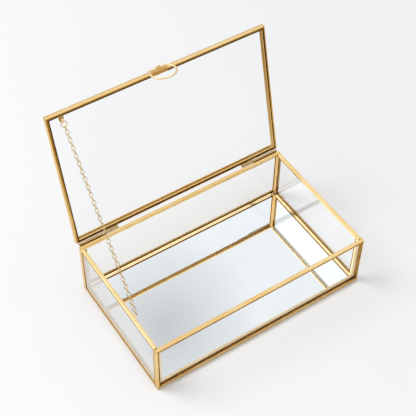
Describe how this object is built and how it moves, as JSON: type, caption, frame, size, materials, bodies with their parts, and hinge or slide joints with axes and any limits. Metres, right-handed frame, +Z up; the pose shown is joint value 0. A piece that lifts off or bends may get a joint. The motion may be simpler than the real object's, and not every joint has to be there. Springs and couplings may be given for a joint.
{
  "type": "jewelry box",
  "caption": "Rectangular clear-glass jewelry box in polished brass channels, with a mirror floor, a hinged glass lid held open by a fine stay chain, and a D-shaped ring pull.",
  "frame": {"origin": "centre of the base's underside", "axes": "+X along the width to the right, +Y to the rear where the hinges are, +Z up"},
  "size_m": [0.2, 0.1572, 0.1799],
  "materials": {
    "brass": "polished, folded from thin strip",
    "glass": "clear, faint green at its edges",
    "mirror": "silvered glass",
    "backing": "thin dark felt"
  },
  "bodies": {
    "box": {"base_mirror": "mirror", "chain_tab_box": "brass", "front_bottom_rail": "brass", "front_pane": "glass", "front_post_left": "brass", "front_post_right": "brass", "front_top_rail": "brass", "hinge_knuckle_box_left": "brass", "hinge_knuckle_box_right": "brass", "hinge_pin_left": "brass", "hinge_pin_right": "brass", "left_bottom_rail": "brass", "left_pane": "glass", "left_post_front": "brass", "left_post_rear": "brass", "left_top_rail": "brass", "mirror_backing": "backing", "rear_bottom_rail": "brass", "rear_pane": "glass", "rear_post_left": "brass", "rear_post_right": "brass", "rear_top_rail": "brass", "right_bottom_rail": "brass", "right_pane": "glass", "right_post_front": "brass", "right_post_rear": "brass", "right_top_rail": "brass"},
    "lid": {"chain_eye_lid": "brass", "chain_ring_lid": "brass", "hinge_knuckle_lid_left": "brass", "hinge_knuckle_lid_right": "brass", "lid_front_rail": "brass", "lid_glass": "glass", "lid_left_rail": "brass", "lid_rear_rail": "brass", "lid_right_rail": "brass", "pull_clip": "brass", "pull_rivets": "brass"},
    "pull": {"pull_ring": "brass"},
    "chain_run_1": {"chain_run_1": "brass"},
    "chain_run_2": {"chain_run_2": "brass"},
    "chain_run_3": {"chain_run_3": "brass"},
    "chain_run_4": {"chain_run_4": "brass"},
    "chain_run_5": {"chain_run_5": "brass"},
    "chain_run_6": {"chain_run_6": "brass"},
    "chain_run_7": {"chain_run_7": "brass"},
    "chain_run_8": {"chain_run_8": "brass"}
  },
  "joints": [
    {"name": "lid_hinge", "type": "hinge", "parent": "box", "child": "lid", "pos_m": [0, 0.0619, 0.0541], "axis": [1, 0, 0], "range_deg": [0, 104]},
    {"name": "pull_swing", "type": "hinge", "parent": "lid", "child": "pull", "pos_m": [0, 0.09389, 0.17454], "axis": [-1, 0, 0], "range_deg": [0, 180]},
    {"name": "chain_fold_1", "type": "hinge", "parent": "lid", "child": "chain_run_1", "pos_m": [0, 0.08502, 0.16419], "axis": [1, 0, 0], "range_deg": [-11.9, 0]},
    {"name": "chain_fold_2", "type": "hinge", "parent": "chain_run_1", "child": "chain_run_2", "pos_m": [0, 0.06763, 0.14578], "axis": [1, 0, 0], "range_deg": [0, 5.7]},
    {"name": "chain_fold_3", "type": "hinge", "parent": "chain_run_2", "child": "chain_run_3", "pos_m": [0, 0.05024, 0.12736], "axis": [1, 0, 0], "range_deg": [0, 49.4]},
    {"name": "chain_fold_4", "type": "hinge", "parent": "chain_run_3", "child": "chain_run_4", "pos_m": [0, 0.03719, 0.11355], "axis": [1, 0, 0], "range_deg": [-90.1, 0]},
    {"name": "chain_fold_5", "type": "hinge", "parent": "chain_run_4", "child": "chain_run_5", "pos_m": [0, 0.0285, 0.10434], "axis": [1, 0, 0], "range_deg": [-81, 0]},
    {"name": "chain_fold_6", "type": "hinge", "parent": "chain_run_5", "child": "chain_run_6", "pos_m": [0, 0.0198, 0.09514], "axis": [1, 0, 0], "range_deg": [-33.4, 0]},
    {"name": "chain_fold_7", "type": "hinge", "parent": "chain_run_6", "child": "chain_run_7", "pos_m": [0, 0.01111, 0.08593], "axis": [1, 0, 0], "range_deg": [-47.7, 0]},
    {"name": "chain_fold_8", "type": "hinge", "parent": "chain_run_7", "child": "chain_run_8", "pos_m": [0, -0.00194, 0.07212], "axis": [1, 0, 0], "range_deg": [-37.3, 0]}
  ],
  "couplings": [
    {"joint": "chain_fold_1", "follows": "lid_hinge", "ratio": -0.11346},
    {"joint": "chain_fold_2", "follows": "lid_hinge", "ratio": 0.05385},
    {"joint": "chain_fold_3", "follows": "lid_hinge", "ratio": 0.47404},
    {"joint": "chain_fold_4", "follows": "lid_hinge", "ratio": -0.86538},
    {"joint": "chain_fold_5", "follows": "lid_hinge", "ratio": -0.77788},
    {"joint": "chain_fold_6", "follows": "lid_hinge", "ratio": -0.32019},
    {"joint": "chain_fold_7", "follows": "lid_hinge", "ratio": -0.45769},
    {"joint": "chain_fold_8", "follows": "lid_hinge", "ratio": -0.35769}
  ]
}
